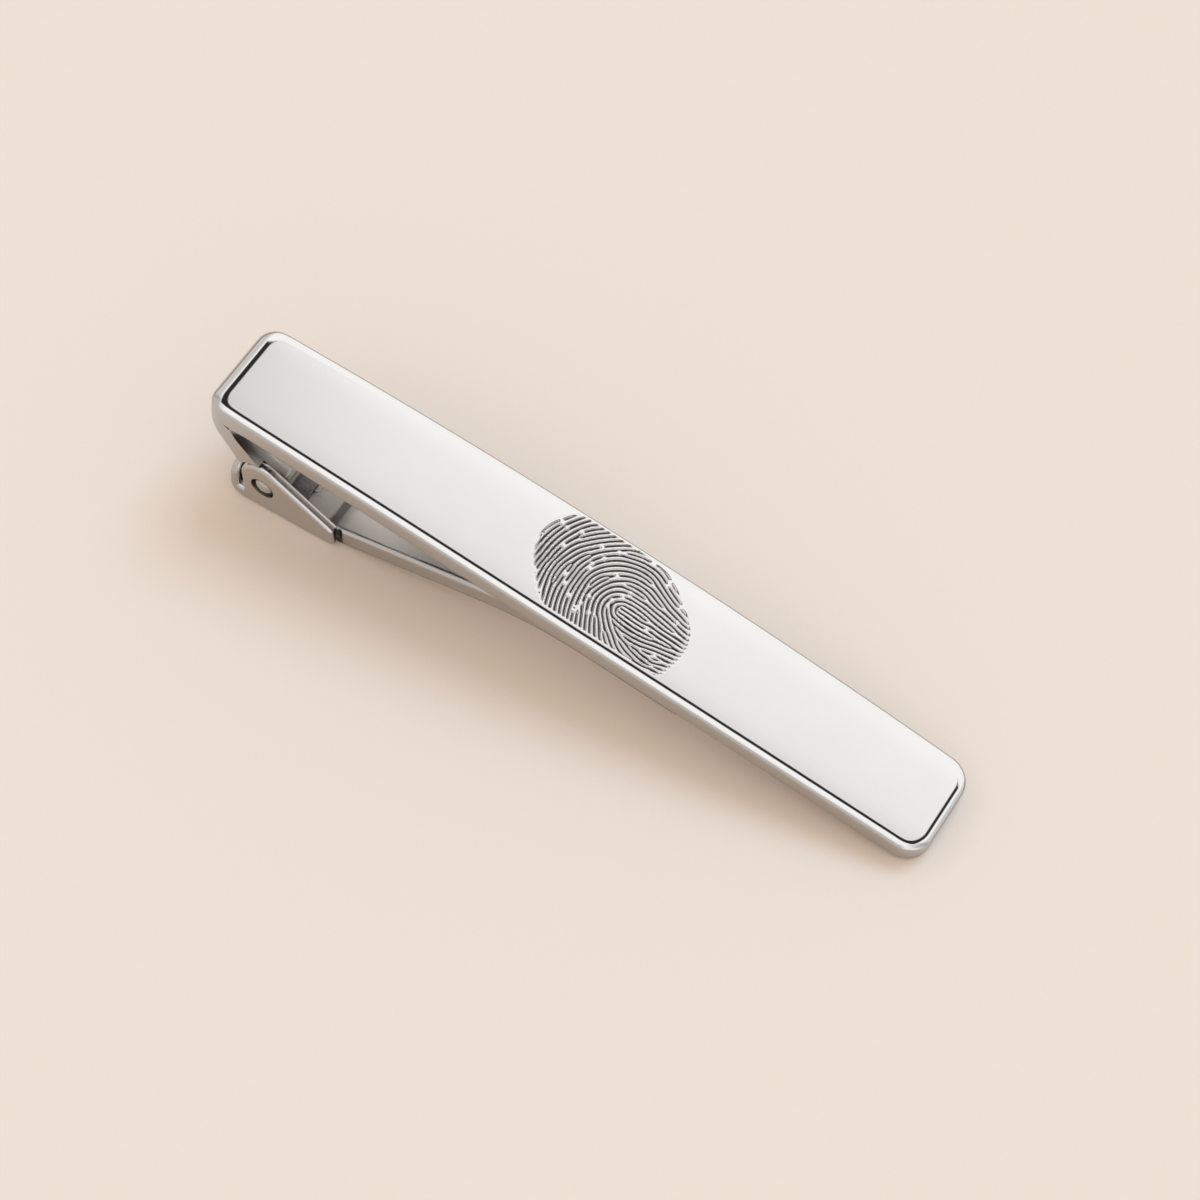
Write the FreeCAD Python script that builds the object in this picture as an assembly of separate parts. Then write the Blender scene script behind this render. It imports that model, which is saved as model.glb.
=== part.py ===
"""Tie clip: an arched front bar with a folded hinge leg, and a sprung lever that closes against it.

The clip stands as it lies on a table, face up: the flat floor of the lever and the toe of the bar
touch z = 0. +X runs along the bar from the hinge to the toe, and the pin lies along Y.
"""
import FreeCAD, Part
import math
import os

# Front bar, seen flat: x from the hinge end, z up from the upper corners of its two ends
bar_length = 60.0
bar_end_width = 7.95
bar_side_bulge = 0.35
bar_arch = 0.9
bar_thickness = 1.84
hinge_corner_radius = 1.4
toe_corner_radius = 2.0
bar_top_edge_radius = 0.45
bar_under_edge_radius = 0.2

# Leg folded back under the hinge end of the bar
fold_drop = 0.9
fold_radius = 2.0
leg_thickness = 1.5
leg_bend_share = 0.3
leg_aim_share = 0.46

# Hinge: pin, knuckle and the flat of the knuckle that the spring presses on
pin_inset = 5.45
pin_drop = 7.15
pin_radius = 0.65
pin_running_clearance = 0.04
knuckle_wall = 0.91
cam_flat_depth = 0.25
tongue_side_clearance = 0.08
shoulder_gap = 0.2

# Rivet heads, each sunk in a recess of its ear
recess_radius = 0.95
recess_depth = 0.3
head_side_gap = 0.15
head_rim_height = 0.1
head_dome_height = 0.28

# Lever: floor, ears and thumb tab, measured from the pin and from the table
pin_height = 2.91
floor_thickness = 1.0
ear_thickness = 0.75
ear_overhang = 0.2
ear_head_radius = 1.92
ear_head_rise = 0.5
ear_length = 6.1
ear_end_height = 1.75
ear_end_radius = 0.8
ear_toe_radius = 0.6
ear_edge_radius = 0.3
tab_gap = 0.5
tab_thickness = 0.7
tab_bend_radius = 1.15
tab_height = 3.8
tab_lean_angle = 6.0
tab_corner_radius = 1.5

# Arm of the lever, from the ears to its flared tip
arm_inset = 0.6
arm_thickness = 1.55
arm_root_length = 5.8
arm_ramp_length = 0.9
arm_contact = 32.5
arm_contact_gap = 0.1
arm_crown_radius = 24.0
arm_flat_run = 7.0
arm_tip_radius = 12.0
arm_tip_angle = 14.0
arm_tip_corner_radius = 2.4
arm_edge_radius = 0.32
notch_radius = 0.28
notch_floor = 0.8

# Leaf spring and the rib that keeps it in place
spring_thickness = 0.25
spring_width = 6.2
spring_back_length = 1.75
spring_front_length = 2.55
spring_gap = 0.03
rib_length = 0.4
rib_height = 0.3
rib_width = 3.0

# Reach of cutting tools past the metal
overrun = 5.0

Y_AXIS = FreeCAD.Vector(0, 1, 0)
Z_AXIS = FreeCAD.Vector(0, 0, 1)
ORIGIN = FreeCAD.Vector(0, 0, 0)

# Sizes that follow from the ones above
knuckle_radius = pin_radius + pin_running_clearance + knuckle_wall
cam_flat_distance = knuckle_radius - cam_flat_depth
lever_half_width = bar_end_width / 2 + ear_overhang
ear_inner = lever_half_width - ear_thickness
tongue_half_width = ear_inner - tongue_side_clearance
arm_half_width = lever_half_width - arm_inset
shoulder_radius = ear_head_radius + ear_head_rise + shoulder_gap
tab_reach = ear_head_radius + tab_gap + tab_thickness
spring_top = pin_height - cam_flat_distance - spring_gap

# The faces of the bar are arcs of one radius; z at a place along the bar follows from it
arch_radius = (bar_length ** 2 / 4 + bar_arch ** 2) / (2 * bar_arch)


def vec(x, z, y=0):
    return FreeCAD.Vector(x, y, z)


def direction(angle):
    return vec(math.cos(angle), math.sin(angle))


def line(start, end):
    return Part.LineSegment(start, end).toShape()


def arc(start, middle, end):
    return Part.Arc(start, middle, end).toShape()


def circle_arc(centre, radius, first_angle, last_angle):
    """Arc in the XZ plane, from one angle to the other."""
    angles = (first_angle, (first_angle + last_angle) / 2, last_angle)
    return arc(*(centre + direction(angle) * radius for angle in angles))


def slab(edges, half_width):
    """Solid whose XZ outline is the closed chain of edges, centred on y = 0."""
    face = Part.Face(Part.Wire(edges))
    face.translate(vec(0, 0, -half_width))
    return face.extrude(Y_AXIS * (2 * half_width))


def cylinder_along_y(centre, radius, first_y, last_y):
    return Part.makeCylinder(radius, last_y - first_y, vec(centre.x, centre.z, first_y), Y_AXIS)


def angle_of(vector):
    return math.atan2(vector.z, vector.x)


def tangent_angle(point, centre, radius, side):
    """Heading of the line from a point that just touches a circle, on its left (+1) or right (-1)."""
    to_centre = centre - point
    return angle_of(to_centre) - side * math.asin(radius / to_centre.Length)


def bar_face_height(x, top):
    """Height of the bar's upper face, whose ends are at z = top, or of the face below it."""
    return top + bar_arch - arch_radius + math.sqrt(arch_radius ** 2 - (x - bar_length / 2) ** 2)


def rest_tilt():
    """Angle by which the bar leans so that its toe lies on the table, with the pin at pin_height."""
    toe_x = bar_length - bar_under_edge_radius
    toe_reach = arch_radius + bar_under_edge_radius
    arch_centre = bar_arch - bar_thickness - arch_radius
    toe_z = arch_centre + math.sqrt(toe_reach ** 2 - (toe_x - bar_length / 2) ** 2)
    along, above = toe_x - pin_inset, toe_z + pin_drop
    drop = pin_height - bar_under_edge_radius
    return math.acos(-drop / math.hypot(along, above)) - math.atan2(along, above)


tilt = rest_tilt()


def on_table(shape):
    """Moves a shape from the bar's own place to where the clip lies, with the pin at x = 0."""
    moved = shape.copy()
    moved.translate(vec(-pin_inset, pin_drop))
    moved.rotate(ORIGIN, Y_AXIS, math.degrees(tilt))
    moved.translate(vec(0, pin_height))
    return moved


def underside_point(x):
    """Point of the bar's underside and its heading, where the clip lies."""
    slope = (bar_length / 2 - x) / math.sqrt(arch_radius ** 2 - (x - bar_length / 2) ** 2)
    vertex = on_table(Part.Vertex(vec(x, bar_face_height(x, -bar_thickness))))
    return vertex.Point, math.atan(slope) - tilt


def bar_outline():
    """XZ outline of the bar, its folded leg and the knuckle, in the bar's own place."""
    pin = vec(pin_inset, -pin_drop)
    fold_centre = vec(fold_radius, -fold_drop)
    aim = leg_aim_share * knuckle_radius
    to_pin = pin - fold_centre
    outward_angle = angle_of(to_pin) - math.acos((fold_radius - aim) / to_pin.Length)
    outward = direction(outward_angle)
    heading = vec(-outward.z, outward.x)

    fold_end = fold_centre + outward * fold_radius
    foot = pin + outward * aim
    knuckle_back = foot - heading * math.sqrt(knuckle_radius ** 2 - aim ** 2)

    inner_start = fold_end - outward * leg_thickness
    bend = inner_start + heading * ((foot - fold_end).Length * leg_bend_share)
    arch_centre = vec(bar_length / 2, bar_arch - bar_thickness - arch_radius)
    from_centre = bend - arch_centre
    along = from_centre.dot(heading)
    across = from_centre - heading * along
    crotch = arch_centre + across - heading * math.sqrt(arch_radius ** 2 - across.dot(across))

    run_in = tangent_angle(bend, pin, knuckle_radius, -1)
    front_angle = run_in + math.pi / 2
    down_angle = -math.pi / 2 + tilt
    half_flat = math.acos(cam_flat_distance / knuckle_radius)
    flat_front, flat_back = down_angle + half_flat, down_angle - half_flat
    back_angle = angle_of(knuckle_back - pin) - 2 * math.pi
    knuckle_front = pin + direction(front_angle) * knuckle_radius

    top_left, top_right = vec(0, 0), vec(bar_length, 0)
    low_right = vec(bar_length, -bar_thickness)
    low_middle_x = (bar_length + crotch.x) / 2
    return [
        arc(top_left, vec(bar_length / 2, bar_arch), top_right),
        line(top_right, low_right),
        arc(low_right, vec(low_middle_x, bar_face_height(low_middle_x, -bar_thickness)), crotch),
        line(crotch, bend),
        line(bend, knuckle_front),
        circle_arc(pin, knuckle_radius, front_angle, flat_front),
        line(pin + direction(flat_front) * knuckle_radius, pin + direction(flat_back) * knuckle_radius),
        circle_arc(pin, knuckle_radius, flat_back, back_angle),
        line(knuckle_back, fold_end),
        circle_arc(fold_centre, fold_radius, outward_angle, -math.pi),
        line(vec(0, -fold_drop), top_left),
    ]


def bar_plan():
    """Upright block with the bowed sides and round corners that the bar shows from above."""
    half, middle = bar_end_width / 2, bar_end_width / 2 + bar_side_bulge
    low = -pin_drop - knuckle_radius - overrun
    height = bar_arch + overrun - low
    corners = [vec(x, low, y) for x, y in ((0, -half), (bar_length, -half), (bar_length, half), (0, half))]
    edges = [
        arc(corners[0], vec(bar_length / 2, low, -middle), corners[1]),
        line(corners[1], corners[2]),
        arc(corners[2], vec(bar_length / 2, low, middle), corners[3]),
        line(corners[3], corners[0]),
    ]
    block = Part.Face(Part.Wire(edges)).extrude(Z_AXIS * height)
    for radius, x in ((hinge_corner_radius, 0), (toe_corner_radius, bar_length)):
        upright = [
            edge for edge in block.Edges
            if edge.BoundBox.ZLength > height / 2 and abs(edge.CenterOfMass.x - x) < radius / 2
        ]
        block = block.makeFillet(radius, upright)
    return block


def edges_of_face(shape, point):
    """Edges of the face of a shape that a point lies on."""
    vertex = Part.Vertex(point)
    return min(shape.Faces, key=lambda face: face.distToShape(vertex)[0]).OuterWire.Edges


def make_front_bar():
    pin = vec(pin_inset, -pin_drop)
    outer_half = bar_end_width / 2 + bar_side_bulge + overrun
    bar = slab(bar_outline(), outer_half).common(bar_plan())
    for side in (-1, 1):
        first, last = sorted((side * tongue_half_width, side * outer_half))
        bar = bar.cut(cylinder_along_y(pin, shoulder_radius, first, last))
    bar = bar.cut(cylinder_along_y(pin, pin_radius + pin_running_clearance, -outer_half, outer_half))
    bar = bar.makeFillet(bar_top_edge_radius, edges_of_face(bar, vec(bar_length / 2, bar_arch)))
    under = edges_of_face(bar, vec(bar_length / 2, bar_arch - bar_thickness))
    toe_zone = [edge for edge in under if edge.BoundBox.XMax > bar_length / 2]
    bar = bar.makeFillet(bar_under_edge_radius, toe_zone)
    return on_table(bar)


def make_hinge_pin():
    seat = lever_half_width - recess_depth
    head_radius = recess_radius - head_side_gap
    rim = seat + head_rim_height
    crown = rim + head_dome_height
    dome_radius = (head_radius ** 2 + head_dome_height ** 2) / (2 * head_dome_height)
    half_turn = math.asin(head_radius / dome_radius) / 2
    shoulder_x = dome_radius * math.sin(half_turn)
    shoulder_y = crown - dome_radius * (1 - math.cos(half_turn))

    def at(x, y):
        return vec(x, pin_height, y)

    edges = [
        line(at(0, -crown), at(0, crown)),
        arc(at(0, crown), at(shoulder_x, shoulder_y), at(head_radius, rim)),
        line(at(head_radius, rim), at(head_radius, seat)),
        line(at(head_radius, seat), at(pin_radius, seat)),
        line(at(pin_radius, seat), at(pin_radius, -seat)),
        line(at(pin_radius, -seat), at(head_radius, -seat)),
        line(at(head_radius, -seat), at(head_radius, -rim)),
        arc(at(head_radius, -rim), at(shoulder_x, -shoulder_y), at(0, -crown)),
    ]
    return Part.Face(Part.Wire(edges)).revolve(vec(0, pin_height), Y_AXIS, math.degrees(2 * math.pi))


def make_floor_and_tab():
    """Floor of the lever with the thumb tab curled up behind the hinge."""
    lean = math.radians(tab_lean_angle)
    bend_centre = vec(tab_bend_radius - tab_reach, tab_bend_radius)
    inner_radius = tab_bend_radius - floor_thickness
    wall_angle = math.pi - lean
    wall_start = bend_centre + direction(wall_angle) * tab_bend_radius
    up = vec(math.sin(lean), math.cos(lean))
    wall_end = wall_start + up * ((tab_height - wall_start.z) / math.cos(lean))
    inner_end = wall_end + vec(tab_thickness / math.cos(lean), 0)
    inner_start = bend_centre + direction(wall_angle) * (tab_bend_radius - tab_thickness)
    inner_floor = vec(bend_centre.x + inner_radius, floor_thickness)
    floor_end = ear_length - ear_toe_radius
    edges = [
        line(vec(floor_end, 0), vec(floor_end, floor_thickness)),
        line(vec(floor_end, floor_thickness), inner_floor),
        line(inner_floor, inner_start),
        line(inner_start, inner_end),
        line(inner_end, wall_end),
        line(wall_end, wall_start),
        circle_arc(bend_centre, tab_bend_radius, wall_angle, 3 * math.pi / 2),
        line(vec(bend_centre.x, 0), vec(floor_end, 0)),
    ]
    sheet = slab(edges, lever_half_width)
    tab_corners = [
        edge for edge in sheet.Edges
        if edge.BoundBox.ZMin > tab_height - tab_thickness and edge.BoundBox.YLength < tab_thickness
        and edge.BoundBox.ZLength < tab_thickness
    ]
    return sheet.makeFillet(tab_corner_radius, tab_corners)


def ear_outline():
    head = vec(0, pin_height + ear_head_rise)
    end_top = vec(ear_length, ear_end_height)
    slope = tangent_angle(end_top, head, ear_head_radius, 1)
    touch_angle = slope - math.pi / 2
    touch = head + direction(touch_angle) * ear_head_radius
    return [
        line(vec(-ear_head_radius, 0), vec(-ear_head_radius, head.z)),
        circle_arc(head, ear_head_radius, math.pi, touch_angle),
        line(touch, end_top),
        line(end_top, vec(ear_length, 0)),
        line(vec(ear_length, 0), vec(-ear_head_radius, 0)),
    ]


def make_ear(side):
    """One ear of the lever, on the near (-1) or far (+1) side, with its front end rounded."""
    ear = slab(ear_outline(), ear_thickness / 2)
    for radius, is_low in ((ear_end_radius, False), (ear_toe_radius, True)):
        ends = [
            edge for edge in ear.Edges
            if edge.BoundBox.YLength > ear_thickness / 2
            and edge.BoundBox.XMin > ear_length - ear_edge_radius
            and (edge.BoundBox.ZMax < ear_toe_radius) == is_low
        ]
        ear = ear.makeFillet(radius, ends)
    ear.translate(vec(0, 0, side * (lever_half_width - ear_thickness / 2)))
    return ear


def make_channel():
    """Floor, tab and both ears as one folded sheet, with round edges along its outer sides."""
    channel = make_floor_and_tab().fuse([make_ear(-1), make_ear(1)]).removeSplitter()
    for side in (-1, 1):
        side_edges = edges_of_face(channel, vec(0, pin_height, side * lever_half_width))
        channel = channel.makeFillet(ear_edge_radius, side_edges)
    return channel


def make_arm():
    """Arm from the floor of the lever, up to its crown under the bar, and on to its flared tip."""
    contact, heading_angle = underside_point(arm_contact)
    upward = direction(heading_angle + math.pi / 2)
    crown = contact - upward * arm_contact_gap
    crown_centre = crown - upward * arm_crown_radius
    root_top = vec(arm_root_length, arm_thickness)
    rise = tangent_angle(root_top, crown_centre, arm_crown_radius, -1)
    start_angle = rise + math.pi / 2
    end_angle = heading_angle + math.pi / 2
    run = direction(heading_angle) * arm_flat_run
    tip_centre = crown + run - upward * arm_tip_radius
    tip_angle = end_angle - math.radians(arm_tip_angle)

    under_crown = arm_crown_radius - arm_thickness
    under_tip = arm_tip_radius - arm_thickness
    rise_heading = direction(rise)
    top_start = crown_centre + direction(start_angle) * arm_crown_radius
    low_start = crown_centre + direction(start_angle) * under_crown
    crown_low = crown - upward * arm_thickness
    tip_top = tip_centre + direction(tip_angle) * arm_tip_radius
    tip_low = tip_centre + direction(tip_angle) * under_tip
    ramp_foot = vec(arm_root_length - arm_ramp_length, floor_thickness)
    foot_low = low_start - rise_heading * (low_start.z / rise_heading.z)
    edges = [
        line(vec(ramp_foot.x, 0), ramp_foot),
        line(ramp_foot, root_top),
        line(root_top, top_start),
        circle_arc(crown_centre, arm_crown_radius, start_angle, end_angle),
        line(crown, crown + run),
        circle_arc(tip_centre, arm_tip_radius, end_angle, tip_angle),
        line(tip_top, tip_low),
        circle_arc(tip_centre, under_tip, tip_angle, end_angle),
        line(crown_low + run, crown_low),
        circle_arc(crown_centre, under_crown, end_angle, start_angle),
        line(low_start, foot_low),
        line(foot_low, vec(ramp_foot.x, 0)),
    ]
    arm = slab(edges, arm_half_width)
    tip_x = (tip_top.x + tip_low.x) / 2
    tip_corners = [
        edge for edge in arm.Edges
        if edge.BoundBox.YLength < arm_edge_radius and edge.CenterOfMass.x > tip_x - arm_edge_radius
    ]
    arm = arm.makeFillet(arm_tip_corner_radius, tip_corners)
    top_edges = edges_of_face(arm, (root_top + top_start) / 2)
    long_edges = [edge for edge in top_edges if edge.BoundBox.YLength < arm_edge_radius]
    return arm.makeFillet(arm_edge_radius, long_edges)


def make_lever():
    lever = make_channel().fuse(make_arm())
    rib_low = vec(spring_front_length + spring_gap, floor_thickness / 2, -rib_width / 2)
    rib = Part.makeBox(rib_length, rib_width, floor_thickness / 2 + rib_height, rib_low)
    lever = lever.fuse(rib).removeSplitter()
    pin = vec(0, pin_height)
    reach = lever_half_width + overrun
    lever = lever.cut(cylinder_along_y(pin, pin_radius, -reach, reach))
    seat = lever_half_width - recess_depth
    for side in (-1, 1):
        first, last = sorted((side * seat, side * reach))
        lever = lever.cut(cylinder_along_y(pin, recess_radius, first, last))
        notch = vec(ear_length + notch_radius / 2, notch_floor, side * (arm_half_width + notch_radius / 2))
        lever = lever.cut(Part.makeCylinder(notch_radius, overrun, notch, Z_AXIS))
    return lever


def make_leaf_spring():
    """Bowed strip with both ends on the floor and its crown under the flat of the knuckle."""
    front_x, back_x = spring_front_length, -spring_back_length
    middle_x, half_chord = (front_x + back_x) / 2, (front_x - back_x) / 2
    bow = spring_top - spring_thickness - floor_thickness
    low_radius = (half_chord ** 2 + bow ** 2) / (2 * bow)
    high_radius = low_radius + spring_thickness
    end_z = spring_top - high_radius + math.sqrt(high_radius ** 2 - half_chord ** 2)
    back_low, front_low = vec(back_x, floor_thickness), vec(front_x, floor_thickness)
    back_high, front_high = vec(back_x, end_z), vec(front_x, end_z)
    edges = [
        arc(back_low, vec(middle_x, floor_thickness + bow), front_low),
        line(front_low, front_high),
        arc(front_high, vec(middle_x, spring_top), back_high),
        line(back_high, back_low),
    ]
    return slab(edges, spring_width / 2)


def main():
    pieces = {
        "front_bar": make_front_bar(),
        "lever": make_lever(),
        "hinge_pin": make_hinge_pin(),
        "leaf_spring": make_leaf_spring(),
    }
    box = Part.makeCompound(list(pieces.values())).optimalBoundingBox(False, False)
    to_centre = vec(-box.Center.x, 0, -box.Center.y)
    os.makedirs("parts", exist_ok=True)
    for name, shape in pieces.items():
        shape.translate(to_centre)
        shape.exportStep("parts/" + name + ".step")
        print(name, "solids", len(shape.Solids), "valid", shape.isValid(), "volume", round(shape.Volume, 3))
    print("tilt", math.degrees(tilt), "pin x", to_centre.x, "box", box)


main()
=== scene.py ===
import math
import bpy
import numpy as np
from mathutils import Matrix, Vector


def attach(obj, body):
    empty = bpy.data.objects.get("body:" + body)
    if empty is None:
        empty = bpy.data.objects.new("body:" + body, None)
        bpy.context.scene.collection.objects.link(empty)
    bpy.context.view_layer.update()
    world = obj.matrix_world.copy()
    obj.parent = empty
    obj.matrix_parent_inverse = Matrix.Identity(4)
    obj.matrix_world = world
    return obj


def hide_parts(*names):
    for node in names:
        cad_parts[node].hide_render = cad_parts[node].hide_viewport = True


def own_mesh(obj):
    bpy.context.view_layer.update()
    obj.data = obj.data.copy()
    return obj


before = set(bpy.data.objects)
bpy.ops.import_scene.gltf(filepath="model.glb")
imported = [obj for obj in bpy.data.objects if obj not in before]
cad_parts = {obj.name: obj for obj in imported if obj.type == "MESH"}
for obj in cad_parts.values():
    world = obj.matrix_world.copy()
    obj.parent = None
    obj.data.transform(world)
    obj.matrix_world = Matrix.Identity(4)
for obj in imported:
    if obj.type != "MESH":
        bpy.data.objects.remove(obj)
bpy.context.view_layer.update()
mm = 0.001

# Camera
# It looks down on the clip from the front right, with the hinge end at the left of the picture.
# The turn, the height and the lens were found by laying the solids over the photograph.
camera_turn = math.radians(32.407)
camera_rise = math.radians(60.002)
camera_distance = 235.99 * mm
camera_aim = Vector((-0.36, 2.507, 0.0)) * mm
camera_back = Vector((math.sin(camera_turn) * math.cos(camera_rise),
                      -math.cos(camera_turn) * math.cos(camera_rise),
                      math.sin(camera_rise)))
camera_right = Vector((math.cos(camera_turn), math.sin(camera_turn), 0.0))
lens = bpy.data.cameras.new("camera")
lens.lens = 97.85
lens.sensor_width = 36.0
lens.clip_start = 0.01
camera = bpy.data.objects.new("camera", lens)
bpy.context.scene.collection.objects.link(camera)
camera.matrix_world = Matrix.Translation(camera_aim + camera_back * camera_distance) @ Matrix(
    (camera_right, camera_back.cross(camera_right), camera_back)).transposed().to_4x4()
bpy.context.scene.camera = camera

# Lever
# The long sprung arm under the bar, pressed from one sheet with two side ears and a thumb tab, then
# plated and polished. Its solid has the pressed shape, so it stays and gets the plated finish,
# which also softens its edges.
polish = bpy.data.node_groups.new("polish_marks", "ShaderNodeTree")
for socket in ("Scale", "Least", "Most"):
    polish.interface.new_socket(socket, in_out="INPUT", socket_type="NodeSocketFloat")
for socket in ("Roughness", "Cloud", "Height"):
    polish.interface.new_socket(socket, in_out="OUTPUT", socket_type="NodeSocketFloat")
given = polish.nodes.new("NodeGroupInput")
result = polish.nodes.new("NodeGroupOutput")
place = polish.nodes.new("ShaderNodeTexCoord")
stretch = polish.nodes.new("ShaderNodeMapping")
stretch.inputs["Scale"].default_value = (0.25, 2.4, 1.0)
marks = polish.nodes.new("ShaderNodeTexNoise")
marks.inputs["Detail"].default_value = 5.0
marks.inputs["Roughness"].default_value = 0.65
spread = polish.nodes.new("ShaderNodeMapRange")
spread.inputs["From Min"].default_value = 0.3
spread.inputs["From Max"].default_value = 0.7
haze = polish.nodes.new("ShaderNodeTexNoise")
haze.inputs["Scale"].default_value = 160.0
haze.inputs["Detail"].default_value = 3.0
polish.links.new(place.outputs["Object"], stretch.inputs["Vector"])
polish.links.new(stretch.outputs["Vector"], marks.inputs["Vector"])
polish.links.new(given.outputs["Scale"], marks.inputs["Scale"])
polish.links.new(marks.outputs["Fac"], spread.inputs["Value"])
polish.links.new(given.outputs["Least"], spread.inputs["To Min"])
polish.links.new(given.outputs["Most"], spread.inputs["To Max"])
polish.links.new(place.outputs["Object"], haze.inputs["Vector"])
polish.links.new(spread.outputs["Result"], result.inputs["Roughness"])
polish.links.new(haze.outputs["Fac"], result.inputs["Cloud"])
polish.links.new(marks.outputs["Fac"], result.inputs["Height"])


def plated_finish(name, bright, dull, least, most, scale, grain):
    finish = bpy.data.materials.new(name)
    finish.use_nodes = True
    nodes, links = finish.node_tree.nodes, finish.node_tree.links
    surface = nodes["Principled BSDF"]
    surface.inputs["Metallic"].default_value = 1.0
    wear = nodes.new("ShaderNodeGroup")
    wear.node_tree = polish
    wear.inputs["Scale"].default_value = scale
    wear.inputs["Least"].default_value = least
    wear.inputs["Most"].default_value = most
    tone = nodes.new("ShaderNodeMix")
    tone.data_type = "RGBA"
    tone.inputs["A"].default_value = bright + (1.0,)
    tone.inputs["B"].default_value = dull + (1.0,)
    bump = nodes.new("ShaderNodeBump")
    bump.name = "grain"
    bump.inputs["Strength"].default_value = grain
    bump.inputs["Distance"].default_value = 0.01 * mm
    links.new(wear.outputs["Cloud"], tone.inputs["Factor"])
    links.new(tone.outputs["Result"], surface.inputs["Base Color"])
    links.new(wear.outputs["Roughness"], surface.inputs["Roughness"])
    links.new(wear.outputs["Height"], bump.inputs["Height"])
    links.new(bump.outputs["Normal"], surface.inputs["Normal"])
    return finish


def laid_over(finish, socket, mask, value):
    nodes, links = finish.node_tree.nodes, finish.node_tree.links
    target = nodes["Principled BSDF"].inputs[socket]
    over = nodes.new("ShaderNodeMix")
    over.data_type = "FLOAT" if socket == "Roughness" else "RGBA"
    over.inputs["B"].default_value = value
    links.new(mask, over.inputs["Factor"])
    links.new(target.links[0].from_socket, over.inputs["A"])
    links.new(over.outputs["Result"], target)


def fading(finish, value, clear, full):
    mask = finish.node_tree.nodes.new("ShaderNodeMapRange")
    mask.inputs["From Min"].default_value = clear
    mask.inputs["From Max"].default_value = full
    finish.node_tree.links.new(value, mask.inputs["Value"])
    return mask.outputs["Result"]


# A mask by the distance from the pin's axis, for the shadow in the recess round the pin's head.
pin_axis_x, pin_axis_z = -25.2375 * mm, 2.91 * mm
recess = bpy.data.node_groups.new("round_the_pin", "ShaderNodeTree")
for socket in ("Clear", "Full"):
    recess.interface.new_socket(socket, in_out="INPUT", socket_type="NodeSocketFloat")
recess.interface.new_socket("Mask", in_out="OUTPUT", socket_type="NodeSocketFloat")
given = recess.nodes.new("NodeGroupInput")
result = recess.nodes.new("NodeGroupOutput")
place = recess.nodes.new("ShaderNodeTexCoord")
centred = recess.nodes.new("ShaderNodeMapping")
centred.inputs["Location"].default_value = (-pin_axis_x, 0.0, -pin_axis_z)
centred.inputs["Scale"].default_value = (1.0, 0.0, 1.0)
radius = recess.nodes.new("ShaderNodeVectorMath")
radius.operation = "LENGTH"
edge = recess.nodes.new("ShaderNodeMapRange")
edge.interpolation_type = "SMOOTHSTEP"
recess.links.new(place.outputs["Object"], centred.inputs["Vector"])
recess.links.new(centred.outputs["Vector"], radius.inputs[0])
recess.links.new(radius.outputs["Value"], edge.inputs["Value"])
recess.links.new(given.outputs["Clear"], edge.inputs["From Min"])
recess.links.new(given.outputs["Full"], edge.inputs["From Max"])
recess.links.new(edge.outputs["Result"], result.inputs["Mask"])


def round_the_pin(finish, clear, full):
    ring = finish.node_tree.nodes.new("ShaderNodeGroup")
    ring.node_tree = recess
    ring.inputs["Clear"].default_value = clear
    ring.inputs["Full"].default_value = full
    return ring.outputs["Mask"]


plated_lever = plated_finish("plated_lever", bright=(0.74, 0.73, 0.72), dull=(0.68, 0.67, 0.66),
                             least=0.07, most=0.14, scale=5200.0, grain=0.10)
nodes, links = plated_lever.node_tree.nodes, plated_lever.node_tree.links
place = nodes.new("ShaderNodeTexCoord")
channel = nodes.new("ShaderNodeSeparateXYZ")
links.new(place.outputs["Object"], channel.inputs["Vector"])
depth = nodes.new("ShaderNodeMath")
depth.operation = "ABSOLUTE"
links.new(channel.outputs["Y"], depth.inputs[0])

# The arm's broad face and the channel between the ears are satin, the rest is polished. The arm's
# face also gets a lighter colour as painted light, and the channel between the ears a darker colour
# as painted shade.
satin = 0.30
arm_face_satin_and_painted_light = fading(plated_lever, depth.outputs["Value"], clear=3.24 * mm, full=3.14 * mm)
inside = nodes.new("ShaderNodeMath")
inside.operation = "MULTIPLY"
links.new(fading(plated_lever, depth.outputs["Value"], clear=3.46 * mm, full=3.40 * mm),
          inside.inputs[0])
links.new(fading(plated_lever, channel.outputs["X"], clear=-18.6 * mm, full=-19.4 * mm),
          inside.inputs[1])
# Painted light: a lighter colour on the arm's face.
laid_over(plated_lever, "Base Color", arm_face_satin_and_painted_light, (0.93, 0.91, 0.89, 1.0))
# Painted shade: a darker colour in the channel between the ears.
laid_over(plated_lever, "Base Color", inside.outputs["Value"], (0.62, 0.605, 0.59, 1.0))
laid_over(plated_lever, "Roughness", arm_face_satin_and_painted_light, satin)
laid_over(plated_lever, "Roughness", inside.outputs["Value"], satin)

# Painted shade darkens the wall of the pin's recess and the relief notch at the end of each ear,
# where little light reaches.
shadowed = round_the_pin(plated_lever, clear=1.04 * mm, full=0.955 * mm)
laid_over(plated_lever, "Base Color", shadowed, (0.10, 0.095, 0.09, 1.0))
notch_x, notch_y = -18.9975 * mm, 3.715 * mm
notch_place = nodes.new("ShaderNodeCombineXYZ")
links.new(channel.outputs["X"], notch_place.inputs["X"])
links.new(depth.outputs["Value"], notch_place.inputs["Y"])
from_notch = nodes.new("ShaderNodeVectorMath")
from_notch.operation = "DISTANCE"
from_notch.inputs[1].default_value = (notch_x, notch_y, 0.0)
links.new(notch_place.outputs["Vector"], from_notch.inputs[0])
in_notch = fading(plated_lever, from_notch.outputs["Value"], clear=0.36 * mm, full=0.28 * mm)
laid_over(plated_lever, "Base Color", in_notch, (0.12, 0.11, 0.10, 1.0))
laid_over(plated_lever, "Roughness", in_notch, 0.45)

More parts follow.
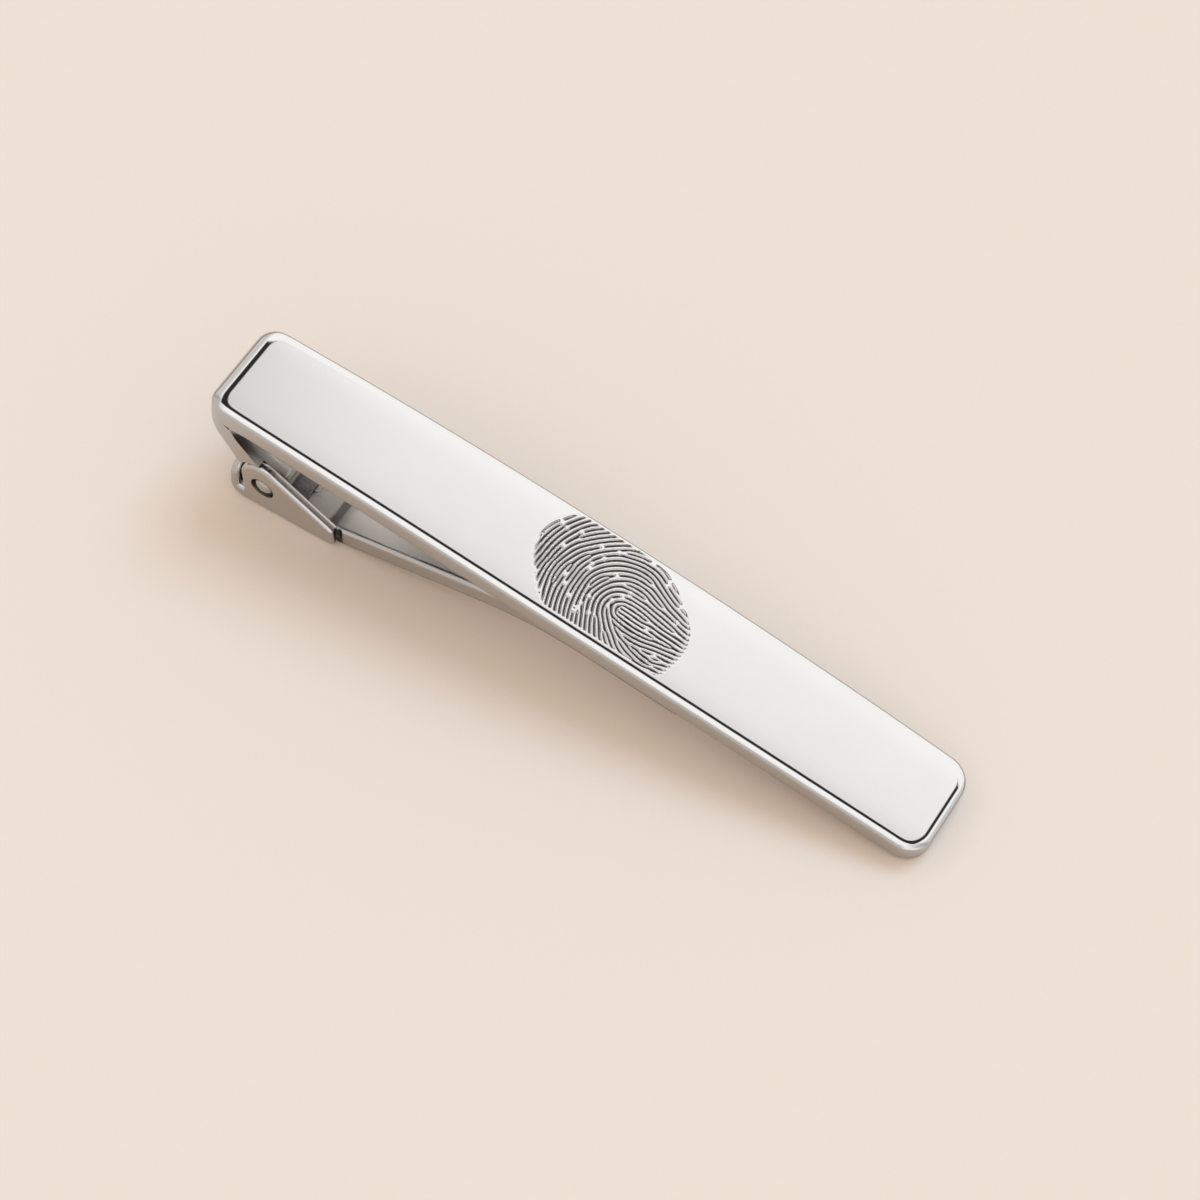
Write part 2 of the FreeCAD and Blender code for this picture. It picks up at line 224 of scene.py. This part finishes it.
eased = nodes.new("ShaderNodeBevel")
eased.samples = 8
eased.inputs["Radius"].default_value = 0.3 * mm
links.new(eased.outputs["Normal"], nodes["grain"].inputs["Normal"])
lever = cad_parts["lever"]
lever.data.materials.clear()
lever.data.materials.append(plated_lever)

# Leaf spring
# A short bowed strip of blue-grey spring steel lying on the lever's floor under the knuckle. It is
# held by the lever's rib and lies loose otherwise; on the real clip the knuckle's corner presses it
# flat on opening, while here it keeps its bow.
spring_back, spring_front = -26.99, -22.69
spring_half_width = 3.1
spring_foot, spring_bow, spring_thickness = 1.0, 0.28, 0.25
bpy.ops.object.select_all(action="DESELECT")
bpy.ops.mesh.primitive_grid_add(x_subdivisions=32, y_subdivisions=4, size=2.0)
spring = bpy.context.object
spring.name = spring.data.name = "spring_leaf"
for point in spring.data.vertices:
    along, across = point.co.x, point.co.y
    point.co = (mm * ((spring_back + spring_front) / 2 + along * (spring_front - spring_back) / 2),
                mm * across * spring_half_width,
                mm * (spring_foot + spring_bow * (1 - along * along)))
bpy.ops.object.mode_set(mode="EDIT")
bpy.ops.mesh.select_all(action="SELECT")
bpy.ops.mesh.extrude_region_move(TRANSFORM_OT_translate={"value": (0, 0, spring_thickness * mm)})
bpy.ops.mesh.select_all(action="SELECT")
bpy.ops.mesh.normals_make_consistent(inside=False)
bpy.ops.object.mode_set(mode="OBJECT")
easing = spring.modifiers.new("easing", "BEVEL")
easing.width = 0.05 * mm
easing.segments = 3
easing.limit_method = "ANGLE"
easing.angle_limit = math.radians(50)
bpy.ops.object.modifier_apply(modifier=easing.name)
bpy.ops.object.shade_smooth_by_angle(angle=math.radians(40))
spring.data.materials.append(plated_finish(
    "spring_steel_strip", bright=(0.34, 0.345, 0.36), dull=(0.25, 0.25, 0.265),
    least=0.22, most=0.38, scale=9000.0, grain=0.35))
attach(spring, "lever")
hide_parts("leaf_spring")
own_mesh(spring)

# Front bar
# The bowed face of the clip, a plated bar with its edges rounded over and its hinge end folded down
# into a leg that turns on the pin. A loop of fine ridge lines is engraved into the middle of its
# top.
bar_length, bar_end_half, bar_side_bow = 60.0, 3.975, 0.35
bar_arch, bar_thickness = 0.9, 1.84
hinge_corner, toe_corner = 1.4, 2.0
top_round, hinge_round, under_round = 0.78, 1.25, 0.2
side_drop, hinge_drop = 0.27, 0.62
hinge_inner_corner = 1.0
fold_start, fold_round = -0.9, 2.0
bar_tilt = math.radians(8.645142)
pin_in_bar = (5.45, -7.15)
pin_place = (-25.2375, 2.91)
bar_middle = bar_length / 2
side_arc = (bar_middle ** 2 + bar_side_bow ** 2) / (2 * bar_side_bow)
top_arc = (bar_middle ** 2 + bar_arch ** 2) / (2 * bar_arch)


def ease(share):
    share = np.clip(share, 0.0, 1.0)
    return share * share * (3.0 - 2.0 * share)


def half_width(x):
    return bar_end_half + bar_side_bow - side_arc + np.sqrt(side_arc ** 2 - (x - bar_middle) ** 2)


def side_lean(x):
    return np.arcsin((bar_middle - x) / side_arc)


def top_height(x):
    return bar_arch - top_arc + np.sqrt(top_arc ** 2 - (x - bar_middle) ** 2)


def set_on_pin(x, y, z):
    along, above = x - pin_in_bar[0], z - pin_in_bar[1]
    return mm * np.stack(
        (along * math.cos(bar_tilt) + above * math.sin(bar_tilt) + pin_place[0],
         y,
         above * math.cos(bar_tilt) - along * math.sin(bar_tilt) + pin_place[1]), axis=-1)


# The engraved loop: lines are drawn out of seeded noise along a flow that turns round one centre.
line_spacing, line_step = 0.345, 0.045
loop_centre = (33.1, -0.7)
loop_x = np.arange(24.2, 39.8, line_step)
loop_y = np.arange(-4.6, 4.6, line_step)
flow_x, flow_y = np.meshgrid(loop_x, loop_y)
chance = np.random.default_rng(11)
core_slope, core_length = 0.06, 3.0
ahead = flow_x - loop_centre[0]
over = flow_y - loop_centre[1] - core_slope * np.maximum(ahead, 0)
ahead = ahead - core_length * ease((-over - 0.3) / 2.5)
fall_above, rise_below = -0.15, 0.25
fall = np.where(over > 0, fall_above * over * ease(ahead / 1.5),
                rise_below * ease(ahead / 2.5) * ease(-over / 1.5))
flow = np.arctan2(np.where(ahead < 0, -ahead, fall), np.where(ahead < 0, over, 1.0)) % math.pi
wave_x = np.fft.fftfreq(len(loop_x), line_step)[None, :]
wave_y = np.fft.fftfreq(len(loop_y), line_step)[:, None]
headings, spacing_spread = 16, 0.4
lines = chance.normal(0.0, 1.0, flow.shape)
passes, shares = [], []
for heading in range(headings):
    turned = math.pi * heading / headings + math.pi / 2
    near_x, near_y = math.cos(turned) / line_spacing, math.sin(turned) / line_spacing
    width = 2 * (spacing_spread / line_spacing) ** 2
    passes.append(np.exp(-((wave_x - near_x) ** 2 + (wave_y - near_y) ** 2) / width)
                  + np.exp(-((wave_x + near_x) ** 2 + (wave_y + near_y) ** 2) / width))
    apart = np.abs(flow / math.pi * headings - heading)
    shares.append(np.maximum(0.0, 1.0 - np.minimum(apart, headings - apart)))
drawing_rounds, line_contrast = 40, 2.2
for drawing in range(drawing_rounds):
    waves = np.fft.fft2(lines)
    drawn = sum(shares[k] * np.fft.ifft2(waves * passes[k]).real for k in range(headings))
    lines = np.tanh(line_contrast * drawn / drawn.std())

# The lines end at an oval with an uneven rim, and small gaps break them.
oval_tilt = math.radians(-21)
oval_centre = (31.95, -0.2)
oval_half_length, oval_half_width, oval_unevenness = 7.28, 4.7, 0.008
from_x, from_y = flow_x - oval_centre[0], flow_y - oval_centre[1]
oval_along = from_x * math.cos(oval_tilt) + from_y * math.sin(oval_tilt)
oval_across = from_y * math.cos(oval_tilt) - from_x * math.sin(oval_tilt)
oval = 1 - np.hypot(oval_along / oval_half_length, oval_across / oval_half_width)
round_oval = np.arctan2(from_y, from_x)
for lobe in range(3, 9):
    oval += (oval_unevenness * chance.normal()
             * np.cos(lobe * round_oval + chance.uniform(0, 2 * math.pi)))
gap_count, gap_size, gap_weight = 34, 0.11, 2.2
gaps = np.zeros_like(lines)
for gap in range(gap_count):
    gap_x, gap_y = chance.uniform(26.0, 38.5), chance.uniform(-3.8, 3.8)
    from_gap = (flow_x - gap_x) ** 2 + (flow_y - gap_y) ** 2
    gaps = np.maximum(gaps, np.exp(-from_gap / (2 * gap_size ** 2)))
line_thinning, oval_steepness, oval_margin = 0.34, 14.0, 0.8
cut_start, cut_ramp = 0.35, 0.9
kept_lines = np.minimum(lines - line_thinning, oval_steepness * oval - oval_margin)
cut_lines = ease((kept_lines - gap_weight * gaps + cut_start) / cut_ramp)
near_margin, far_margin, margin_fade = 0.02, 0.27, 0.1


def engraving(x, y):
    column = np.clip((x - loop_x[0]) / line_step, 0, len(loop_x) - 1.001)
    row = np.clip((y - loop_y[0]) / line_step, 0, len(loop_y) - 1.001)
    c, r = column.astype(int), row.astype(int)
    u, v = column - c, row - r
    found = ((1 - u) * (1 - v) * cut_lines[r, c] + u * (1 - v) * cut_lines[r, c + 1]
             + (1 - u) * v * cut_lines[r + 1, c] + u * v * cut_lines[r + 1, c + 1])
    near_edge = ease((half_width(x) + y - top_round - near_margin) / margin_fade)
    far_edge = ease((half_width(x) - y - far_margin) / margin_fade)
    return np.where((x > loop_x[0]) & (x < loop_x[-1]), found * near_edge * far_edge, 0.0)


# The bar's half outline, from the hinge end round one corner, along the side and round the toe
# corner. The stations along the side are close together at the engraving, where the lines need it.
corner_steps, end_reach = 20, 5.0
side_start, fine_start, fine_stop, side_stop = 1.65, 24.6, 39.4, 57.98
fine_step, hinge_stations, toe_stations, crowding = 0.052, 44, 38, 1.7
stations = np.concatenate((
    side_start + (fine_start - side_start) * np.linspace(0, 1, hinge_stations)[:-1] ** crowding,
    np.arange(fine_start, fine_stop, fine_step),
    side_stop - (side_stop - fine_stop) * np.linspace(1, 0, toe_stations) ** crowding))


def half_outline(inset, hinge_inset, hinge_radius, toe_radius):
    angles = np.linspace(0.0, 1.0, corner_steps + 1)
    lean = side_lean(hinge_inset + hinge_radius)
    first = hinge_inset + hinge_radius * (1 - np.sin(lean))
    last = bar_length - inset - toe_radius * (1 - np.sin(lean))
    from_first, from_last = stations - stations[0], stations - stations[-1]
    along = stations + (first - stations[0]) * (1 - ease(from_first / end_reach))
    along = along + (last - stations[-1]) * ease((from_last + end_reach) / end_reach)
    side_y = half_width(along) - inset * np.cos(side_lean(along))
    turn = angles * (math.pi / 2 - lean)
    hinge_x = hinge_inset + hinge_radius * (1 - np.cos(turn))
    hinge_y = side_y[0] - hinge_radius * (np.cos(lean) - np.sin(turn))
    toe_x = bar_length - inset - toe_radius * (1 - np.cos(turn))
    toe_y = side_y[-1] - toe_radius * (np.cos(lean) - np.sin(turn))
    return (np.concatenate((hinge_x[:-1], along, toe_x[-2::-1])),
            np.concatenate((hinge_y[:-1], side_y, toe_y[-2::-1])))


face_x, face_y = half_outline(top_round, hinge_round, hinge_inner_corner, toe_corner - top_round)
rim_x, rim_y = half_outline(0.0, 0.0, hinge_corner, toe_corner)
columns, rows = len(face_x) - 1, 156
drop_columns = corner_steps + 8
from_hinge = ease(np.arange(columns + 1) / drop_columns)
drop = side_drop + (hinge_drop - side_drop) * (1 - from_hinge)

# The top face, slightly pillowed towards its rim, with the lines sunk into it.
bpy.ops.object.select_all(action="DESELECT")
bpy.ops.mesh.primitive_grid_add(x_subdivisions=columns, y_subdivisions=rows, size=2.0)
bar = bpy.context.object
bar.name = bar.data.name = "engraved_bar"
at = np.empty(len(bar.data.vertices) * 3)
bar.data.vertices.foreach_get("co", at)
at = at.reshape(-1, 3)
column = np.rint((at[:, 0] + 1) / 2 * columns).astype(int)
share = np.rint((at[:, 1] + 1) / 2 * rows) / rows * 2 - 1
top_x, top_y = face_x[column], share * face_y[column]
cut = engraving(top_x, top_y)
groove_depth, pillow = 0.07, 0.009
pillow_reach, pillow_end_power, pillow_side_power = 2.5, 4, 8
at_hinge = np.clip(1 - (top_x - face_x[0]) / pillow_reach, 0, 1) ** pillow_end_power
at_toe = np.clip(1 - (face_x[-1] - top_x) / pillow_reach, 0, 1) ** pillow_end_power
crown = 1 - (1 - share ** pillow_side_power) * (1 - at_hinge) * (1 - at_toe)
top = top_height(top_x) - groove_depth * cut - pillow * crown
bar.data.vertices.foreach_set("co", set_on_pin(top_x, top_y, top).ravel())
inner = np.stack((top_x, top_y, drop[column]), axis=-1)
outer = np.stack((rim_x[column], share * rim_y[column], drop[column]), axis=-1)
carried = bar.data.attributes
carried.new("engraving", "FLOAT", "POINT").data.foreach_set("value", cut)
carried.new("inner_line", "FLOAT_VECTOR", "POINT").data.foreach_set("vector", inner.ravel())
carried.new("outer_line", "FLOAT_VECTOR", "POINT").data.foreach_set("vector", outer.ravel())


def rounded_over(inner, outer, turned):
    x = inner[:, 0] + (outer[:, 0] - inner[:, 0]) * math.sin(turned)
    y = inner[:, 1] + (outer[:, 1] - inner[:, 1]) * math.sin(turned)
    return x, y, top_height(x) - pillow - (outer[:, 2] - pillow) * (1 - math.cos(turned))


def under_edge(x):
    fold_clear, fold_blend, least_share = 2.4, 1.6, 0.08
    return under_round * np.clip(ease((x - fold_clear) / fold_blend), least_share, 1.0)


def down_the_side(inner, outer, share):
    x, y = outer[:, 0], outer[:, 1]
    start = top_height(x) - outer[:, 2]
    stop = top_height(x) - bar_thickness + under_edge(x)
    z = start + (stop - start) * share
    below = np.minimum(z - fold_start, 0.0)
    return np.maximum(x, fold_round - np.sqrt(fold_round ** 2 - below ** 2)), y, z


def turned_under(inner, outer, turned):
    x, y, z = down_the_side(inner, outer, 1.0)
    small = under_edge(outer[:, 0])
    reach = np.maximum(np.hypot(outer[:, 0] - inner[:, 0], outer[:, 1] - inner[:, 1]), top_round)
    pull = small * (1 - math.cos(turned)) / reach
    return (x + (inner[:, 0] - outer[:, 0]) * pull, y + (inner[:, 1] - outer[:, 1]) * pull,
            z - small * math.sin(turned))


def closed_below(inner, outer, share):
    end_gap = 2.3
    x = np.clip(outer[:, 0], end_gap, bar_length - end_gap)
    return x, 0.0 * x, top_height(x) - bar_thickness


# The face's border is extruded ring by ring over the edge, down the side and under to the middle.
border = (column == 0) | (column == columns) | (np.abs(share) > 1 - 0.5 / rows)
edge_rings, edge_crowding, side_rings, under_rings = 12, 1.25, 5, 3
rings = [(rounded_over, math.pi / 2 * (k / edge_rings) ** edge_crowding)
         for k in range(1, edge_rings + 1)]
rings += [(down_the_side, k / side_rings) for k in range(1, side_rings + 1)]
rings += [(turned_under, math.radians(90 / under_rings * k)) for k in range(1, under_rings + 1)]
rings += [(closed_below, 1.0)]
bpy.ops.object.mode_set(mode="EDIT")
bpy.ops.mesh.select_mode(type="VERT")
bpy.ops.mesh.select_all(action="DESELECT")
bpy.ops.object.mode_set(mode="OBJECT")
bar.data.vertices.foreach_set("select", border)
for shape, amount in rings:
    before = len(bar.data.vertices)
    bpy.ops.object.mode_set(mode="EDIT")
    bpy.ops.mesh.extrude_edges_move()
    bpy.ops.object.mode_set(mode="OBJECT")
    count = len(bar.data.vertices)
    inner, outer, at = np.empty(count * 3), np.empty(count * 3), np.empty(count * 3)
    cut = np.empty(count)
    bar.data.attributes["engraving"].data.foreach_get("value", cut)
    bar.data.attributes["inner_line"].data.foreach_get("vector", inner)
    bar.data.attributes["outer_line"].data.foreach_get("vector", outer)
    bar.data.vertices.foreach_get("co", at)
    inner, outer, at = inner.reshape(-1, 3), outer.reshape(-1, 3), at.reshape(-1, 3)
    x, y, z = shape(inner[before:], outer[before:], amount)
    cut[before:] = engraving(x, y) if shape is rounded_over else 0.0
    at[before:] = set_on_pin(x, y, z - groove_depth * cut[before:])
    bar.data.vertices.foreach_set("co", at.ravel())
    bar.data.attributes["engraving"].data.foreach_set("value", cut)
bar.data.attributes.remove(bar.data.attributes["inner_line"])
bar.data.attributes.remove(bar.data.attributes["outer_line"])
bpy.ops.object.mode_set(mode="EDIT")
bpy.ops.mesh.select_all(action="SELECT")
bpy.ops.mesh.remove_doubles(threshold=0.002 * mm)
bpy.ops.mesh.normals_make_consistent(inside=False)
bpy.ops.object.mode_set(mode="OBJECT")
bpy.ops.object.shade_smooth_by_angle(angle=math.radians(50))

# The folded leg and its knuckle come from the solid, cut off where the leg leaves the bar.
leg = bpy.data.objects.new("bar_leg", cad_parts["front_bar"].data.copy())
bpy.context.scene.collection.objects.link(leg)
leg.data.materials.clear()
bpy.ops.object.select_all(action="DESELECT")
leg.select_set(True)
bpy.context.view_layer.objects.active = leg
elbow_x, crotch_x = 0.2347, 1.95
elbow = set_on_pin(elbow_x, 0.0, top_height(elbow_x) - bar_thickness)
crotch = set_on_pin(crotch_x, 0.0, top_height(crotch_x) - bar_thickness)
along_cut = Vector(crotch - elbow).normalized()
past_crotch, trimmed = np.array((0.5, 0.0, 0.866)), 0.12 * mm
bpy.ops.object.mode_set(mode="EDIT")
bpy.ops.mesh.select_all(action="SELECT")
bpy.ops.mesh.remove_doubles(threshold=0.001 * mm)
bpy.ops.mesh.customdata_custom_splitnormals_clear()
bpy.ops.mesh.select_all(action="SELECT")
bpy.ops.mesh.dissolve_limited(angle_limit=math.radians(0.5))
bpy.ops.object.mode_set(mode="OBJECT")
easing = leg.modifiers.new("easing", "BEVEL")
easing.width = 0.14 * mm
easing.segments = 4
easing.limit_method = "ANGLE"
easing.angle_limit = math.radians(45)
bpy.ops.object.modifier_apply(modifier=easing.name)
bpy.ops.object.mode_set(mode="EDIT")
bpy.ops.mesh.select_all(action="SELECT")
bpy.ops.mesh.bisect(plane_co=elbow, plane_no=(-along_cut.z, 0.0, along_cut.x),
                    use_fill=True, clear_outer=True)
bpy.ops.mesh.select_all(action="SELECT")
bpy.ops.mesh.bisect(plane_co=crotch - trimmed * past_crotch, plane_no=past_crotch,
                    use_fill=True, clear_outer=True)
bpy.ops.mesh.select_all(action="SELECT")
bpy.ops.mesh.normals_make_consistent(inside=False)
bpy.ops.object.mode_set(mode="OBJECT")
bpy.ops.object.shade_smooth_by_angle(angle=math.radians(18))
bpy.ops.object.select_all(action="DESELECT")
leg.select_set(True)
bar.select_set(True)
bpy.context.view_layer.objects.active = bar
bpy.ops.object.join()

engraved = plated_finish("plated_engraved", bright=(0.75, 0.75, 0.745), dull=(0.72, 0.72, 0.715),
                         least=0.04, most=0.08, scale=4200.0, grain=0.04)
groove = engraved.node_tree.nodes.new("ShaderNodeAttribute")
groove.attribute_name = "engraving"
laid_over(engraved, "Base Color", groove.outputs["Fac"], (0.05, 0.036, 0.025, 1.0))
laid_over(engraved, "Roughness", groove.outputs["Fac"], 0.42)
bar.data.materials.clear()
bar.data.materials.append(engraved)
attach(bar, "bar")
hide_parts("front_bar")

# Hinge pin
# A plain turned pin with low domed heads, pressed through both ears of the lever and through the
# knuckle. Its solid has the domes and the bright shank, so it stays and gets a finer polish.
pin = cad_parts["hinge_pin"]
plated_pin = plated_finish("plated_pin", bright=(0.76, 0.75, 0.74), dull=(0.68, 0.67, 0.66),
                           least=0.06, most=0.12, scale=8000.0, grain=0.10)
# Painted shade darkens the rim of each head, where it meets the recess.
rim_shadow = round_the_pin(plated_pin, clear=0.58 * mm, full=0.80 * mm)
laid_over(plated_pin, "Base Color", rim_shadow, (0.14, 0.13, 0.125, 1.0))
pin.data.materials.clear()
pin.data.materials.append(plated_pin)

# Floor
# A plain warm pale table top, which only carries the clip's shadow and is no part of it.
bpy.ops.object.select_all(action="DESELECT")
bpy.ops.mesh.primitive_plane_add(size=3.0)
floor = bpy.context.object
floor.name = floor.data.name = "floor"
table = bpy.data.materials.new("pale_table")
table.use_nodes = True
top_coat = table.node_tree.nodes["Principled BSDF"]
top_coat.inputs["Roughness"].default_value = 0.95
top_coat.inputs["Specular IOR Level"].default_value = 0.1
# Painted shade: rays other than the camera's see a darker floor, so the floor mirrored in the metal
# looks darker than the floor in view.
sight = table.node_tree.nodes.new("ShaderNodeLightPath")
shade = table.node_tree.nodes.new("ShaderNodeMix")
shade.data_type = "RGBA"
shade.inputs["A"].default_value = (0.64, 0.60, 0.585, 1.0)
shade.inputs["B"].default_value = (0.853, 0.797, 0.776, 1.0)
table.node_tree.links.new(sight.outputs["Is Camera Ray"], shade.inputs["Factor"])
table.node_tree.links.new(shade.outputs["Result"], top_coat.inputs["Base Color"])
floor.data.materials.append(table)

# Studio light
# A broad soft lamp behind the clip and an even fill light the scene. Polished metal mirrors a plain
# studio: pale walls, greyer at both sides and lighter at the front right, a bright panel overhead
# towards the back, and a black frame round that panel.
studio = bpy.data.worlds.new("studio")
studio.use_nodes = True
bpy.context.scene.world = studio
nodes, links = studio.node_tree.nodes, studio.node_tree.links
fill = nodes["Background"]
fill.inputs["Color"].default_value = (1.0, 0.83, 0.66, 1.0)
fill.inputs["Strength"].default_value = 0.87
room = nodes.new("ShaderNodeBackground")
look = nodes.new("ShaderNodeTexCoord")
split = nodes.new("ShaderNodeSeparateXYZ")
links.new(look.outputs["Generated"], split.inputs["Vector"])


def soft_step(value, start, stop, low=0.0, high=1.0):
    step = nodes.new("ShaderNodeMapRange")
    step.interpolation_type = "SMOOTHSTEP"
    step.inputs["From Min"].default_value = start
    step.inputs["From Max"].default_value = stop
    step.inputs["To Min"].default_value = low
    step.inputs["To Max"].default_value = high
    links.new(value, step.inputs["Value"])
    return step.outputs["Result"]


def combine(operation, first, second=None):
    node = nodes.new("ShaderNodeMath")
    node.operation = operation
    links.new(first, node.inputs[0])
    if second is not None:
        links.new(second, node.inputs[1])
    return node.outputs["Value"]


def between(value, low, high, soft=0.04):
    return combine("MULTIPLY", soft_step(value, low - soft, low + soft),
                   soft_step(value, high + soft, high - soft))


across, back, up = split.outputs["X"], split.outputs["Y"], split.outputs["Z"]
sideways = combine("ABSOLUTE", across)
panel = combine("MULTIPLY", soft_step(sideways, 0.33, 0.27), soft_step(back, 0.29, 0.33))
panel = combine("MULTIPLY", panel, soft_step(back, 0.38, 0.46, low=0.98, high=1.22))
panel = combine("MULTIPLY", panel, soft_step(across, -0.28, -0.12, low=0.84, high=1.0))
black_frame = combine("MULTIPLY", between(across, -0.53, 0.46), between(back, 0.12, 0.48))
walls = soft_step(black_frame, 0.0, 1.0, low=1.22, high=0.03)
fade = combine("MAXIMUM", soft_step(up, 0.72, 0.985, low=0.50, high=1.0), soft_step(back, 0.0, 0.3))
walls = combine("MULTIPLY", walls, fade)
grey_sides = combine("MULTIPLY", soft_step(back, 0.0, 0.25), soft_step(sideways, 0.50, 0.72))
walls = combine("MULTIPLY", walls, soft_step(grey_sides, 0.0, 1.0, low=1.0, high=0.62))
front_right = combine("MULTIPLY", soft_step(back, 0.1, -0.4), soft_step(across, 0.25, 0.65))
walls = combine("MULTIPLY", walls, soft_step(front_right, 0.0, 1.0, low=1.0, high=1.7))
skirting = combine("MAXIMUM", soft_step(back, 0.35, 0.15),
                   soft_step(up, 0.16, 0.30, low=0.4, high=1.0))
bright = combine("MULTIPLY", combine("MAXIMUM", panel, walls), skirting)
links.new(bright, room.inputs["Strength"])
warmth = nodes.new("ShaderNodeMix")
warmth.data_type = "RGBA"
warmth.inputs["A"].default_value = (1.0, 0.93, 0.85, 1.0)
warmth.inputs["B"].default_value = (1.0, 0.99, 0.982, 1.0)
links.new(soft_step(up, 0.1, 0.7), warmth.inputs["Factor"])
links.new(warmth.outputs["Result"], room.inputs["Color"])
path = nodes.new("ShaderNodeLightPath")
mirror_ray = combine("MAXIMUM", path.outputs["Is Glossy Ray"], path.outputs["Is Transmission Ray"])
mirrored = nodes.new("ShaderNodeMixShader")
links.new(mirror_ray, mirrored.inputs["Fac"])
links.new(fill.outputs["Background"], mirrored.inputs[1])
links.new(room.outputs["Background"], mirrored.inputs[2])
backdrop = nodes.new("ShaderNodeBackground")
backdrop.inputs["Color"].default_value = (0.86, 0.75, 0.66, 1.0)
backdrop.inputs["Strength"].default_value = 1.0
choose = nodes.new("ShaderNodeMixShader")
links.new(path.outputs["Is Camera Ray"], choose.inputs["Fac"])
links.new(mirrored.outputs["Shader"], choose.inputs[1])
links.new(backdrop.outputs["Background"], choose.inputs[2])
links.new(choose.outputs["Shader"], nodes["World Output"].inputs["Surface"])

key_from = Vector((0.15, 0.55, 0.82)).normalized()
key_lamp = bpy.data.lights.new("key", "SUN")
key_lamp.angle = math.radians(33)
key_lamp.color = (0.5, 0.79, 1.0)
key_lamp.energy = 1.056
key = bpy.data.objects.new("key", key_lamp)
bpy.context.scene.collection.objects.link(key)
key.location = key_from
key.rotation_euler = key_from.to_track_quat("Z", "Y").to_euler()
key.visible_glossy = False

bpy.context.scene.view_settings.view_transform = "Standard"
